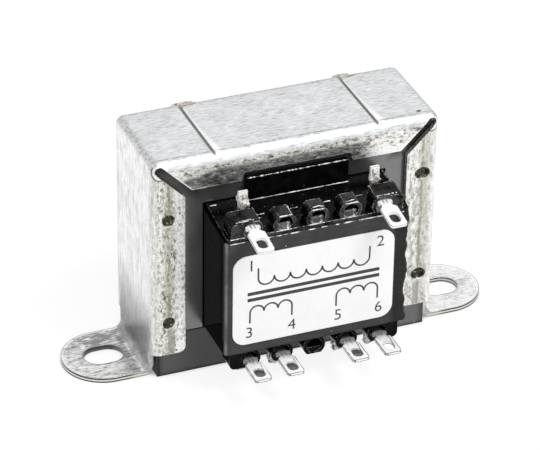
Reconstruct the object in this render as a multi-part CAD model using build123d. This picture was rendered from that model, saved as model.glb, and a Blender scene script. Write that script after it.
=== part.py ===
from build123d import *
import math
import os

os.makedirs("parts", exist_ok=True)

# Chassis mount transformer: an EI core clamped in a folded steel frame with two slotted feet,
# and a two-chamber coil former whose solder tags stand out of its front.
# Origin: middle of the fixing slots on the mounting plane. X runs along the feet, Y to the back.
# Lengths are millimetres, angles degrees.

# Core sheets
centre_limb_width = 14.0
outer_limb_width = 7.0
window_width = 7.0
window_height = 21.0
yoke_height = 7.0
strip_height = 7.0
stack_depth = 14.3
butt_gap = 0.1

# Clamp frame
sheet_t = 0.8
bend_inner_r = 0.5
frame_fit = 0.15
flange_width = 5.0
flange_bottom_z = 4.15
flange_corner_r = 1.0
lip_depth = 5.0
mitre_gap = 1.4
notch_clearance = 0.55
notch_depth = 1.3
notch_corner_r = 0.5
dimple_r = 1.0
dimple_floor_r = 0.65
dimple_depth = 0.5
dimple_inset = 2.5
dimple_low_rise = 5.35
dimple_high_drop = 9.35
score_spacing = 24.8
score_depth = 0.3

# Feet
slot_from_web = 4.8
foot_width = 12.5
foot_bend_inner_r = 1.2
slot_width = 4.6
slot_length = 6.0

# Coil former
former_fit = 0.15
tube_wall = 0.8
window_clearance = 0.2
former_flange_t = 1.0
partition_t = 0.8
partition_inset = 0.3
lower_chamber_height = 8.2
deck_drop = 1.35
barrier_overhang = 0.75
barrier_t = 0.85
barrier_height = 3.5
barrier_gap = 0.2
barrier_edge_r = 0.25

# Wrap and label
wrap_side_clearance = 0.1
wrap_depth = 32.0
wrap_t = 0.3
wrap_fit = 0.05
wrap_corner_r = 0.8
wrap_low_reveal = 0.2
wrap_high_reveal = 0.5
wrap_seam_inset = 2.6
wrap_seam_step = 0.1
label_width = 24.6
label_height = 14.7
label_corner_r = 2.0
label_t = 0.12
label_centre_x = -0.5
label_drop = 0.625

# Terminal sockets on the coil former
tag_end_margin = 3.55
socket_r = 1.7
socket_hole_r = 1.2
socket_hole_depth = 2.0
socket_depth = 2.35
socket_base_width = 2.1
row_height = 2.6
upper_hole_height = 1.2
lower_hole_drop = 1.25
rest_width = 1.9
rest_recess = 0.2
rest_drop = 0.15
end_block_overhang = 3.03
end_block_depth = 3.0
end_block_corner_r = 0.85

# Solder tags
tag_t = 0.4
tag_fit = 0.05
upper_tag_height = 1.6
lower_tag_drop = 1.55
shank_width = 1.4
stub_centre = 3.35
upper_stub_rise = 5.55
lower_stub_drop = 5.0
ear_width = 2.2
ear_length = 0.7
ear_round = 0.25
neck_width = 1.6
neck_length = 0.5
shoulder_length = 0.5
head_width = 2.6
head_length = 4.1
head_corner_r = 0.55
eye_width = 1.45
eye_length = 2.15
eye_corner_r = 0.65
eye_from_end = 1.85

# Windings
winding_fit = 0.1
winding_corner_r = 0.9
primary_build = 4.7
secondary_inner_build = 2.2
secondary_outer_build = 2.3
tape_t = 0.2
winding_end_gap = 0.15

# Lead-out wires and solder
primary_lead_d = 0.4
secondary_lead_d = 0.5
lead_hole_clearance = 0.15
lead_behind_stub = 0.9
lead_bend_r = 1.5
lead_turn_gap = 0.5
solder_gap = 0.02
solder_r = 0.85
solder_length = 2.0
solder_round = 0.45
solder_tip_bare = 0.3

# Places that follow from the sizes above
core_width = centre_limb_width + 2 * window_width + 2 * outer_limb_width
window_top = strip_height + window_height
core_top = window_top + yoke_height
window_outer_x = centre_limb_width / 2 + window_width
core_face = stack_depth / 2

bend_outer_r = bend_inner_r + sheet_t
frame_hx = core_width / 2 + frame_fit + sheet_t
frame_hy = core_face + frame_fit + sheet_t
frame_top = core_top + frame_fit + sheet_t
flange_edge_x = frame_hx - flange_width
lip_edge_z = frame_top - lip_depth
fixing_x = frame_hx + slot_from_web
barrier_width = centre_limb_width + 2 * barrier_overhang
notch_width = barrier_width + 2 * notch_clearance
dimple_low_z = flange_bottom_z + dimple_low_rise
dimple_high_z = frame_top - dimple_high_drop

bore_hx = centre_limb_width / 2 + former_fit
bore_hy = core_face + former_fit
tube_hx = bore_hx + tube_wall
tube_hy = bore_hy + tube_wall
former_low = strip_height + window_clearance
former_high = window_top - window_clearance
deck_front_z = former_high - deck_drop
barrier_top_z = former_high + barrier_height
wrap_hx = window_outer_x - wrap_side_clearance
wrap_hy = wrap_depth / 2
flange_hx = wrap_hx - wrap_t - wrap_fit
flange_hy = wrap_hy - wrap_t - wrap_fit
deck_slope = math.degrees(math.atan2(former_high - deck_front_z, flange_hy - core_face))
chamber_low = former_low + former_flange_t
partition_low = chamber_low + lower_chamber_height
partition_high = partition_low + partition_t
chamber_high = deck_front_z - former_flange_t
wrap_seam_x = wrap_hx - wrap_seam_inset
label_centre_z = (former_low + deck_front_z) / 2 - label_drop

stub_y = -flange_hy + stub_centre
lead_y = stub_y + lead_behind_stub
upper_stub_top_z = deck_front_z + upper_stub_rise
lower_stub_end_z = former_low - lower_stub_drop
tag_pitch = (flange_hx - tag_end_margin) / 2
tag_columns = [-2 * tag_pitch, -tag_pitch, 0, tag_pitch, 2 * tag_pitch]
end_columns = [tag_columns[0], tag_columns[-1]]

upper_row = Plane(
    origin=(0, -flange_hy, deck_front_z),
    x_dir=(1, 0, 0),
    z_dir=(0, -math.sin(math.radians(deck_slope)), math.cos(math.radians(deck_slope))),
)
lower_row = Plane(origin=(0, -flange_hy, former_low), x_dir=(1, 0, 0), z_dir=(0, 0, 1))


def block(x0, x1, y0, y1, z0, z1):
    """Box between two corners."""
    size = Box(x1 - x0, y1 - y0, z1 - z0)
    return Pos((x0 + x1) / 2, (y0 + y1) / 2, (z0 + z1) / 2) * size


def along_y(points, half_depth):
    """Prism of an X-Z outline, as deep on both sides of the middle."""
    return extrude(make_face(Plane.XZ * Polyline(points, close=True)), half_depth, both=True)


def along_x(points, half_width):
    """Prism of a Y-Z outline, as wide on both sides of the middle."""
    return extrude(make_face(Plane.YZ * Polyline(points, close=True)), half_width, both=True)


def rounded_box(hx, hy, z0, z1, radius):
    """Upright box with rounded corners seen from above."""
    return Pos(0, 0, z0) * extrude(RectangleRounded(2 * hx, 2 * hy, radius), z1 - z0)


def collar(hx, hy, radius, build, z0, z1):
    """Band wound around a rounded rectangle, its inner side at hx and hy."""
    outer = rounded_box(hx + build, hy + build, z0, z1, radius + build)
    return outer - rounded_box(hx, hy, z0, z1, radius)


def edges_at(shape, axis, x, z):
    """Edges along an axis whose middles lie at plus or minus x, at height z."""
    found = ShapeList()
    for edge in shape.edges().filter_by(axis):
        middle = edge.center()
        if abs(abs(middle.X) - x) < 0.01 and abs(middle.Z - z) < 0.01:
            found.append(edge)
    return found


def e_stack():
    """E sheets, legs down, pressed into one stack."""
    half = core_width / 2
    legs_end = strip_height + butt_gap
    centre = centre_limb_width / 2
    stack = block(-half, half, -core_face, core_face, window_top, core_top)
    stack += block(-half, -window_outer_x, -core_face, core_face, legs_end, window_top)
    stack += block(-centre, centre, -core_face, core_face, legs_end, window_top)
    stack += block(window_outer_x, half, -core_face, core_face, legs_end, window_top)
    return stack


def i_stack():
    """I sheets that close the three legs at the bottom."""
    half = core_width / 2
    return block(-half, half, -core_face, core_face, 0, strip_height)


def frame_shell():
    """Five-sided box over the core, with bent edges and an open underside."""
    base = (Align.CENTER, Align.CENTER, Align.MIN)
    outer = Box(2 * frame_hx, 2 * frame_hy, frame_top, align=base)
    bends = outer.edges().filter_by(Axis.Z) + outer.faces().sort_by(Axis.Z)[-1].edges()
    outer = fillet(bends, bend_outer_r)
    inner = Box(2 * (frame_hx - sheet_t), 2 * (frame_hy - sheet_t), frame_top - sheet_t, align=base)
    bends = inner.edges().filter_by(Axis.Z) + inner.faces().sort_by(Axis.Z)[-1].edges()
    inner = fillet(bends, bend_inner_r)
    return outer - inner


def foot():
    """Right-hand foot: the web's lower end, its outward bend and the slotted round pad."""
    half = foot_width / 2
    bend_r = foot_bend_inner_r + sheet_t
    bend_x = frame_hx + foot_bend_inner_r
    web = block(frame_hx - sheet_t, frame_hx, -half, half, bend_r, flange_bottom_z)
    ring = Cylinder(bend_r, foot_width) - Cylinder(foot_bend_inner_r, foot_width)
    bend = Pos(bend_x, 0, bend_r) * Rot(90, 0, 0) * ring
    bend &= block(bend_x - bend_r, bend_x, -half, half, 0, bend_r)
    pad = block(bend_x, fixing_x, -half, half, 0, sheet_t)
    end = Pos(fixing_x, 0, sheet_t / 2) * Cylinder(half, sheet_t)
    pad += end & block(fixing_x, fixing_x + half, -half, half, 0, sheet_t)
    slot = extrude(SlotOverall(slot_length, slot_width), 2 * sheet_t, both=True)
    return web + bend + pad - Pos(fixing_x, 0, 0) * slot


def clamp_frame():
    """Folded strip: top plate, two webs, flanges, lips and feet in one piece."""
    frame = frame_shell()
    edge = flange_edge_x
    notch = notch_width / 2
    notch_z = lip_edge_z + notch_depth
    window = along_y(
        [
            (-edge, -sheet_t),
            (edge, -sheet_t),
            (edge, lip_edge_z),
            (notch, lip_edge_z),
            (notch, notch_z),
            (-notch, notch_z),
            (-notch, lip_edge_z),
            (-edge, lip_edge_z),
        ],
        2 * frame_hy,
    )
    frame -= window
    wide = 2 * frame_hx
    deep = 2 * frame_hy
    frame -= block(-wide, wide, -deep, deep, -sheet_t, flange_bottom_z)
    frame = fillet(edges_at(frame, Axis.Y, edge, flange_bottom_z), flange_corner_r)
    frame = fillet(edges_at(frame, Axis.Y, notch, notch_z), notch_corner_r)
    frame = fillet(edges_at(frame, Axis.Y, notch, lip_edge_z), notch_corner_r)
    reach = math.hypot(flange_width - bend_outer_r, lip_depth - bend_outer_r)
    angle = math.degrees(math.atan2(lip_depth, flange_width))
    cut_depth = bend_outer_r + frame_fit
    for x_side in (-1, 1):
        for y_side in (-1, 1):
            slit = extrude(SlotCenterToCenter(2 * reach, mitre_gap), cut_depth / 2, both=True)
            turned = Rot(90, 0, 0) * Rot(0, 0, x_side * angle) * slit
            slit_y = y_side * (frame_hy + frame_fit - cut_depth / 2)
            frame -= Pos(x_side * edge, slit_y, lip_edge_z) * turned
    for x_side in (-1, 1):
        for y_side in (-1, 1):
            for z in (dimple_low_z, dimple_high_z):
                pit = Cone(dimple_floor_r, dimple_r, dimple_depth)
                pit = Rot(y_side * -90, 0, 0) * pit
                pit_y = y_side * (frame_hy - dimple_depth / 2)
                frame -= Pos(x_side * (frame_hx - dimple_inset), pit_y, z) * pit
        side = math.hypot(score_depth, score_depth)
        score = Rot(0, 45, 0) * Box(side, 3 * frame_hy, side)
        frame -= Pos(x_side * score_spacing / 2, 0, frame_top) * score
    frame += foot()
    frame += mirror(foot(), Plane.YZ)
    return frame


def socket(row, up, x):
    """One terminal socket on a row's deck, flat-topped and round in front."""
    hole_h = upper_hole_height if up > 0 else -lower_hole_drop
    root = -up * former_flange_t / 2
    low, high = min(root, up * row_height), max(root, up * row_height)
    barrel = Pos(x, socket_depth / 2, hole_h) * Rot(90, 0, 0) * Cylinder(socket_r, socket_depth)
    half = socket_base_width / 2
    body = barrel + block(x - half, x + half, 0, socket_depth, min(root, hole_h), max(root, hole_h))
    if x in end_columns:
        side = math.copysign(1, x)
        near = x - side * socket_hole_r
        far = x + side * end_block_overhang
        end = block(min(near, far), max(near, far), 0, end_block_depth, low, high)
        outer = end.edges().filter_by(Axis.Y)
        outer = outer.filter_by(lambda edge: side * edge.center().X > abs(x))
        outer = outer.filter_by(lambda edge: up * edge.center().Z > 0)
        body += fillet(outer, end_block_corner_r)
    reach = end_block_overhang + socket_r
    return row * (body & block(x - reach, x + reach, 0, end_block_depth, low, high))


def socket_hole(row, up, x):
    """Round hole of a socket, less the rest in its lower half."""
    hole_h = upper_hole_height if up > 0 else -lower_hole_drop
    tag_h = upper_tag_height if up > 0 else -lower_tag_drop
    round_hole = extrude(Circle(socket_hole_r), socket_hole_depth)
    hole = Pos(x, 0, hole_h) * Rot(-90, 0, 0) * Rot(0, 0, 45) * round_hole
    rest = block(
        x - rest_width / 2,
        x + rest_width / 2,
        rest_recess,
        socket_hole_depth,
        hole_h - socket_r,
        min(tag_h - tag_fit, hole_h - rest_drop),
    )
    return row * (hole - rest)


def tag_way(row, up, x):
    """Slot right through a socket for a tag's shank."""
    tag_h = upper_tag_height if up > 0 else -lower_tag_drop
    half = shank_width / 2 + tag_fit
    back = stub_centre + tag_t / 2 + tag_fit
    return row * block(x - half, x + half, 0, back, tag_h - tag_fit, tag_h + tag_t + tag_fit)


def stub_root(row, height):
    """Height above the mounting plane at which a stub leaves the middle of its shank."""
    return (row * Pos(0, stub_centre, height + tag_t / 2)).position.Z


def coil_former():
    """Moulded former: square tube, end flanges, partition, barrier wall and terminal rows."""
    upper = along_x(
        [
            (-flange_hy, deck_front_z - former_flange_t),
            (-flange_hy, deck_front_z),
            (-core_face, former_high),
            (core_face, former_high),
            (flange_hy, deck_front_z),
            (flange_hy, deck_front_z - former_flange_t),
            (core_face, former_high - former_flange_t),
            (-core_face, former_high - former_flange_t),
        ],
        flange_hx,
    )
    corner_r = wrap_corner_r - wrap_t - wrap_fit
    former = upper & rounded_box(flange_hx, flange_hy, former_low, former_high, corner_r)
    former += rounded_box(flange_hx, flange_hy, former_low, chamber_low, corner_r)
    tube_top = former_high - former_flange_t / 2
    former += rounded_box(tube_hx, tube_hy, former_low, tube_top, winding_corner_r - winding_fit)
    rim_x = flange_hx - partition_inset
    rim_y = flange_hy - partition_inset
    former += rounded_box(rim_x, rim_y, partition_low, partition_high, wrap_corner_r)
    wall_back = -core_face - barrier_gap
    wall_half = barrier_width / 2
    wall_front = wall_back - barrier_t
    wall_root = former_high - former_flange_t
    wall = block(-wall_half, wall_half, wall_front, wall_back, wall_root, barrier_top_z)
    wall = fillet(wall.edges().filter_by(Axis.X).group_by(Axis.Z)[-1], barrier_edge_r)
    former += wall
    for x in tag_columns:
        former += socket(upper_row, 1, x)
        former += socket(lower_row, -1, x)
    for x in tag_columns:
        former -= socket_hole(upper_row, 1, x)
        former -= socket_hole(lower_row, -1, x)
    for x in end_columns:
        former -= tag_way(upper_row, 1, x)
        former -= lead_hole(x, lead_y, primary_lead_d, former_high - former_flange_t)
    for x in tag_columns:
        if x != 0:
            former -= tag_way(lower_row, -1, x)
            former -= lead_hole(x, secondary_lead_y(x), secondary_lead_d, former_low)
    former -= block(-bore_hx, bore_hx, -bore_hy, bore_hy, 0, barrier_top_z)
    return former


def lead_hole(x, y, wire_d, z):
    """Upright hole through a former flange for one lead-out wire."""
    drill = Cylinder(wire_d / 2 + lead_hole_clearance, 4 * former_flange_t)
    return Pos(x, y, z) * drill


def secondary_lead_y(x):
    """Where a secondary wire leaves its winding: the inner one on the left, the outer on the right."""
    if x < 0:
        return -tube_hy - winding_fit - secondary_inner_build / 2
    return lead_y


def coil_wrap():
    """Film wound round both chambers, flush with the sloping deck, its end a low step in front."""
    low = former_low + wrap_low_reveal
    band = rounded_box(wrap_hx, wrap_hy, low, former_high, wrap_corner_r)
    band -= rounded_box(wrap_hx - wrap_t, wrap_hy - wrap_t, low, former_high, wrap_corner_r - wrap_t)
    rise = math.tan(math.radians(deck_slope))
    front_z = deck_front_z - wrap_high_reveal - (wrap_hy - flange_hy) * rise
    core_z = former_high - wrap_high_reveal
    keep = along_x(
        [
            (-wrap_hy, low),
            (-wrap_hy, front_z),
            (-core_face, core_z),
            (core_face, core_z),
            (wrap_hy, front_z),
            (wrap_hy, low),
        ],
        wrap_hx,
    )
    band &= keep
    return band - block(wrap_seam_x, wrap_hx, -wrap_hy, -wrap_hy + wrap_seam_step, low, former_high)


def rating_label():
    """Paper label on the front of the wrap."""
    sheet = extrude(RectangleRounded(label_width, label_height, label_corner_r), label_t)
    return Pos(label_centre_x, -wrap_hy, label_centre_z) * Rot(90, 0, 0) * sheet


def solder_tag(row, up, x):
    """Flat tag: pierced head, neck with two ears, shank in the former and an upright stub."""
    tag_h = upper_tag_height if up > 0 else -lower_tag_drop
    shank_back = stub_centre + tag_t / 2
    neck_y = -ear_length - neck_length
    head_y = neck_y - shoulder_length
    end_y = head_y - head_length
    shank = Polyline(
        [
            (-shank_width / 2, shank_back),
            (-shank_width / 2, 0),
            (-ear_width / 2, 0),
            (-ear_width / 2, -ear_length),
            (-neck_width / 2, -ear_length),
            (-neck_width / 2, neck_y),
            (-head_width / 2, head_y),
            (-head_width / 2, end_y),
            (head_width / 2, end_y),
            (head_width / 2, head_y),
            (neck_width / 2, neck_y),
            (neck_width / 2, -ear_length),
            (ear_width / 2, -ear_length),
            (ear_width / 2, 0),
            (shank_width / 2, 0),
            (shank_width / 2, shank_back),
        ],
        close=True,
    )
    outline = make_face(shank)
    outline = fillet(outline.vertices().group_by(Axis.Y)[0], head_corner_r)
    ear_tips = outline.vertices().filter_by(lambda tip: abs(abs(tip.X) - ear_width / 2) < tag_fit)
    outline = fillet(ear_tips, ear_round)
    outline -= Pos(0, end_y + eye_from_end) * RectangleRounded(eye_width, eye_length, eye_corner_r)
    plate = row * Pos(x, 0, tag_h) * extrude(outline, tag_t)
    tip = upper_stub_top_z if up > 0 else lower_stub_end_z
    root = stub_root(row, tag_h)
    low, high = min(root, tip), max(root, tip)
    half = shank_width / 2
    return plate + block(x - half, x + half, stub_y - tag_t / 2, stub_y + tag_t / 2, low, high)


def lead_path(x, leave_y, leave_z, deck_z, up, tip_z, wire_d):
    """Centre line of a lead-out wire, from its winding's end face to the back of the stub."""
    stub_back = stub_y + tag_t / 2 + solder_gap + wire_d / 2
    first_turn = deck_z + up * lead_turn_gap
    last_turn = tip_z - up * (solder_length - solder_tip_bare)
    points = [
        (x, leave_y, leave_z),
        (x, leave_y, first_turn),
        (x, stub_back, last_turn),
        (x, stub_back, tip_z),
    ]
    return FilletPolyline(*points, radius=lead_bend_r)


def wire(path, wire_d):
    """Round wire along a path."""
    return sweep((path ^ 0) * Circle(wire_d / 2), path=path)


def solder(x, up, tip_z, lead_hollow):
    """Solder that holds a wire to its stub."""
    lump = Cylinder(solder_r, solder_length)
    lump = fillet(lump.edges(), solder_round)
    lump = Pos(x, stub_y + tag_t / 4, tip_z - up * (solder_length / 2 - solder_gap)) * lump
    half = shank_width / 2 + solder_gap
    reach = tag_t / 2 + solder_gap
    low = tip_z - 2 * solder_length
    high = tip_z + 2 * solder_length
    lump -= block(x - half, x + half, stub_y - reach, stub_y + reach, low, high)
    return lump - lead_hollow


parts = {}
parts["e_lamination_stack"] = e_stack()
parts["i_lamination_stack"] = i_stack()
parts["clamp_frame"] = clamp_frame()
parts["coil_former"] = coil_former()
parts["coil_wrap"] = coil_wrap()
parts["rating_label"] = rating_label()

# Windings and their tapes, primary above the partition and two secondaries below it
inner_x = tube_hx + winding_fit
inner_y = tube_hy + winding_fit
primary_low = partition_high + winding_end_gap
primary_high = chamber_high - winding_end_gap
secondary_low = chamber_low + winding_end_gap
secondary_high = partition_low - winding_end_gap


def wound(name, start, build, low, high):
    """Add a band that starts at a given height of build above the tube; give where it ends."""
    parts[name] = collar(inner_x + start, inner_y + start, winding_corner_r + start, build, low, high)
    return start + build


at = wound("primary_winding", 0, primary_build, primary_low, primary_high)
at = wound("primary_tape", at, tape_t, primary_low, primary_high)
at = wound("secondary_winding_inner", 0, secondary_inner_build, secondary_low, secondary_high)
at = wound("interwinding_tape", at, tape_t, secondary_low, secondary_high)
at = wound("secondary_winding_outer", at, secondary_outer_build, secondary_low, secondary_high)
at = wound("secondary_tape", at, tape_t, secondary_low, secondary_high)

# Tags, lead-out wires and solder
primary_names = dict(zip(end_columns, ("left", "right")))
for x, side in primary_names.items():
    parts["primary_tag_" + side] = solder_tag(upper_row, 1, x)
    tip_z = upper_stub_top_z - solder_tip_bare
    deck_z = (upper_row * Pos(0, stub_centre + lead_behind_stub, 0)).position.Z
    path = lead_path(x, lead_y, primary_high, deck_z, 1, tip_z, primary_lead_d)
    parts["primary_lead_" + side] = wire(path, primary_lead_d)
    hollow = wire(path, primary_lead_d + 2 * solder_gap)
    parts["primary_solder_" + side] = solder(x, 1, tip_z, hollow)

secondary_columns = [x for x in tag_columns if x != 0]
for number, x in enumerate(secondary_columns, start=1):
    parts[f"secondary_tag_{number}"] = solder_tag(lower_row, -1, x)
    tip_z = lower_stub_end_z + solder_tip_bare
    leave_y = secondary_lead_y(x)
    path = lead_path(x, leave_y, secondary_low, former_low, -1, tip_z, secondary_lead_d)
    parts[f"secondary_lead_{number}"] = wire(path, secondary_lead_d)
    hollow = wire(path, secondary_lead_d + 2 * solder_gap)
    parts[f"secondary_solder_{number}"] = solder(x, -1, tip_z, hollow)

for name, shape in parts.items():
    export_step(shape, f"parts/{name}.step")
    print(f"{name}: {shape.volume:.2f} mm3")
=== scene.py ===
import bpy
import bmesh
import math
from mathutils import Matrix, Vector, noise


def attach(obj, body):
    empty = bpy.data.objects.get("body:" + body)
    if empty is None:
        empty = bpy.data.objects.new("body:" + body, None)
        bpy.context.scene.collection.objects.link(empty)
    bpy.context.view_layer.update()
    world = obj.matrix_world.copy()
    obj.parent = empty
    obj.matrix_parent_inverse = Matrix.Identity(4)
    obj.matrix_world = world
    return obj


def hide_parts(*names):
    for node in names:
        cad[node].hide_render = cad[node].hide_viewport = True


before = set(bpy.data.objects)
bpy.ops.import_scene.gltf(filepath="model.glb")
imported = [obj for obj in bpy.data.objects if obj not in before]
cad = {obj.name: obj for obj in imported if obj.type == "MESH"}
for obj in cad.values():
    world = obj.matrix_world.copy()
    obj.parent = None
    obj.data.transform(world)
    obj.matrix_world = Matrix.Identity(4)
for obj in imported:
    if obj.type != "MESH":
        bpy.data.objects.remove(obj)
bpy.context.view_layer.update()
mm = 0.001
print("frame loaded,", len(cad), "nodes")


def arithmetic(operation, turned=False):  # a method of Wire that adds one Math node
    def method(self, other):
        first, second = (other, self) if turned else (self, other)
        return self.calc(operation, first, second)

    return method


class Wire:  # one socket of a node tree, written into sums
    def __init__(self, tree, socket=None):
        self.tree = tree
        self.socket = socket

    def make(self, kind, settings=(), ins=(), out=0):
        node = self.tree.nodes.new(kind)
        for key, value in dict(settings).items():
            if key == "stops":
                setStops(node.color_ramp, value)
            else:
                setattr(node, key, value)
        for key, value in dict(ins).items():
            if isinstance(value, Wire):
                self.tree.links.new(value.socket, node.inputs[key])
            else:
                node.inputs[key].default_value = value
        return Wire(self.tree, node.outputs[out]) if node.outputs else None

    def calc(self, operation, first, second=0.0):
        return self.make("ShaderNodeMath", {"operation": operation}, {0: first, 1: second})

    def vector(self, operation, ins, out=0):
        return self.make("ShaderNodeVectorMath", {"operation": operation}, ins, out)

    def __abs__(self):
        return self.calc("ABSOLUTE", self)

    __add__, __radd__ = arithmetic("ADD"), arithmetic("ADD", True)
    __sub__, __rsub__ = arithmetic("SUBTRACT"), arithmetic("SUBTRACT", True)
    __mul__, __rmul__ = arithmetic("MULTIPLY"), arithmetic("MULTIPLY", True)
    __truediv__, __pow__ = arithmetic("DIVIDE"), arithmetic("POWER")
    most, least = arithmetic("MAXIMUM"), arithmetic("MINIMUM")

    def fract(self):
        return self.calc("FRACT", self)

    def rise(self, low, high):  # 0 below low, 1 above high, smooth between
        settings = {"interpolation_type": "SMOOTHSTEP"}
        return self.make("ShaderNodeMapRange", settings, {0: self, 1: low, 2: high, 3: 0.0, 4: 1.0})

    def fade(self, low, high):
        return 1.0 - self.rise(low, high)

    def between(self, first, second):  # this value blends two colours
        return self.make("ShaderNodeMix", {"data_type": "RGBA"}, {0: self, 6: first, 7: second}, 2)


def setStops(ramp, stops):
    while len(ramp.elements) > 1:
        ramp.elements.remove(ramp.elements[-1])
    ramp.elements[0].position = stops[0][0]
    ramp.elements[0].color = stops[0][1]
    for at, colour in stops[1:]:
        ramp.elements.new(at).color = colour


def grey(level, warm=0.0):
    return (level * (1 + warm), level, level * (1 - warm), 1.0)


def olive(level, tint):
    return (level, level * (1 - tint * 0.15), level * (1 - tint), 1.0)


def newFinish(name):
    finish = bpy.data.materials.new(name)
    finish.use_nodes = True
    finish.node_tree.nodes.clear()
    start = Wire(finish.node_tree)
    place = start.make("ShaderNodeTexCoord", out="Object")
    return finish, start, start.vector("SCALE", {0: place, "Scale": 1000.0})  # places in millimetres


def closeFinish(start, ins):
    shader = start.make("ShaderNodeBsdfPrincipled", (), ins)
    start.make("ShaderNodeOutputMaterial", (), {"Surface": shader})


def axis(place, number):
    return place.make("ShaderNodeSeparateXYZ", (), {0: place}, number)


def axes(place):
    return axis(place, 0), axis(place, 1), axis(place, 2)


def stretched(place, factors):
    return place.vector("MULTIPLY", {0: place, 1: factors})


def cloud(place, scale, detail=3.0, roughness=0.55, twist=0.0):
    ins = {"Vector": place, "Scale": scale, "Detail": detail, "Roughness": roughness, "Distortion": twist}
    return place.make("ShaderNodeTexNoise", (), ins)


def strokes(place, factors, detail, roughness):  # a cloud drawn out along one way
    return cloud(stretched(place, factors), 1.0, detail, roughness)


def softEdge(start, radius):
    return start.make("ShaderNodeBevel", {"samples": 6}, {"Radius": radius * mm})


def openAir(start, reach):  # 1 in the open, less in corners
    return start.make("ShaderNodeAmbientOcclusion", {"samples": 8}, {"Distance": reach * mm}, "AO")


def edgeMask(start, radius):  # 1 on edges, 0 on flats
    flat = start.make("ShaderNodeNewGeometry", out="Normal")
    across = start.vector("DOT_PRODUCT", {0: softEdge(start, radius), 1: flat}, 1)
    return across.fade(0.84, 0.992)


def relief(start, height, depth, normal=None):
    ins = {"Strength": 1.0, "Distance": depth * mm, "Height": height}
    if normal:
        ins["Normal"] = normal
    return start.make("ShaderNodeBump", (), ins)


# zinc plate of the clamp frame: streaked along the strip, mottled on the folded edges
zincLook = {
    "halfWidth": 21.95, "halfDepth": 8.1, "top": 35.95, "score": 12.4,
    "plate": [(0.38, grey(0.52, -0.015)), (0.46, grey(0.68, -0.015)),
              (0.54, grey(0.79, -0.02)), (0.63, grey(0.91, -0.015))],
    "web": [(0.38, grey(0.58)), (0.46, grey(0.82)), (0.54, grey(0.95))],
    "fold": [(0.40, olive(0.08, 0.12)), (0.455, olive(0.32, 0.14)),
             (0.49, olive(0.72, 0.10)), (0.53, olive(0.98, 0.03))],
    "lip": [(0.42, olive(0.07, 0.03)), (0.48, olive(0.20, 0.03)),
            (0.54, olive(0.40, 0.03)), (0.60, grey(0.90))],
    "foot": [(0.40, grey(0.14)), (0.45, grey(0.36)), (0.505, grey(0.72)), (0.56, grey(0.95))],
    "smooth": [(0.38, grey(0.56)), (0.45, grey(0.77)), (0.54, grey(0.92))],
    "bright": grey(0.97), "dark": olive(0.13, 0.12), "line": olive(0.010, 0.05), "scored": olive(0.10, 0.10),
    "groove": olive(0.27, 0.08), "cut": olive(0.70, 0.09), "highlightGrey": grey(0.48), "low": grey(0.25),
    "varnish": olive(0.31, 0.34), "patch": olive(0.36, 0.12), "pit": olive(0.035, 0.3),
    "hollow": olive(0.024, 0.45), "glint": olive(0.45, 0.4), "amber": (0.20, 0.155, 0.055, 1),
    "pitAt": (19.28, -6.34), "slotReach": 0.7, "slotRadius": 2.3, "grooveRadius": 5.15,
    "lipLow": 31.08, "notchLow": 32.34, "notchHalf": 8.2,
    "dimpleInset": 2.5, "dimpleLow": 9.5, "dimpleHigh": 26.6, "footCentre": 26.75, "slitEnd": 1.3,
    "roughLow": 0.24, "roughHigh": 0.50,
}


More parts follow.
